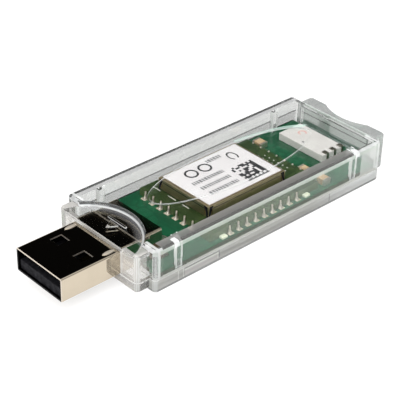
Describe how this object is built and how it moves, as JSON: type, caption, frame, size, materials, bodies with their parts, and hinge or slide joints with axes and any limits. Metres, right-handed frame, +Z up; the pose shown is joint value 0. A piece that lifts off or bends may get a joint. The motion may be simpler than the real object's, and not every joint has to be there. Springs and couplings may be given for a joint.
{
  "type": "usb radio stick",
  "caption": "Clear snap-fit USB radio stick: metal USB plug, green main board with shielded radio board and antenna block inside.",
  "frame": {"origin": "on the underside of the housing, in the middle of the overall length and width", "axes": "+X from the plug towards the rear end, +Z up through the labelled side, -Y the long side seen in the picture"},
  "size_m": [0.0732, 0.0232, 0.0084],
  "materials": {
    "clear_housing": "clear polished polycarbonate",
    "plug_steel": "bright drawn sheet",
    "tongue_plastic": "moulded insulator",
    "contact_gold": "gold plated",
    "board_green": "solder mask",
    "shield_tin": "tinned sheet",
    "label_white": null,
    "antenna_ceramic": "unglazed white",
    "terminal_metal": "tinned",
    "capacitor_tan": "unglazed tan",
    "chip_black": "moulded epoxy"
  },
  "bodies": {
    "root": {"top_shell": "clear_housing", "bottom_shell": "clear_housing", "usb_shell": "plug_steel", "usb_tongue": "tongue_plastic", "usb_contact_1": "contact_gold", "usb_contact_2": "contact_gold", "usb_contact_3": "contact_gold", "usb_contact_4": "contact_gold", "main_board": "board_green", "radio_board": "board_green", "shield_fence": "shield_tin", "shield_lid": "shield_tin", "module_label": "label_white", "antenna_block": "antenna_ceramic", "antenna_terminal_1": "terminal_metal", "antenna_terminal_2": "terminal_metal", "antenna_terminal_3": "terminal_metal", "capacitor_1": "capacitor_tan", "capacitor_2": "capacitor_tan", "capacitor_3": "capacitor_tan", "capacitor_4": "capacitor_tan", "bridge_chip": "chip_black", "voltage_regulator": "chip_black", "crystal": "terminal_metal"}
  },
  "joints": []
}
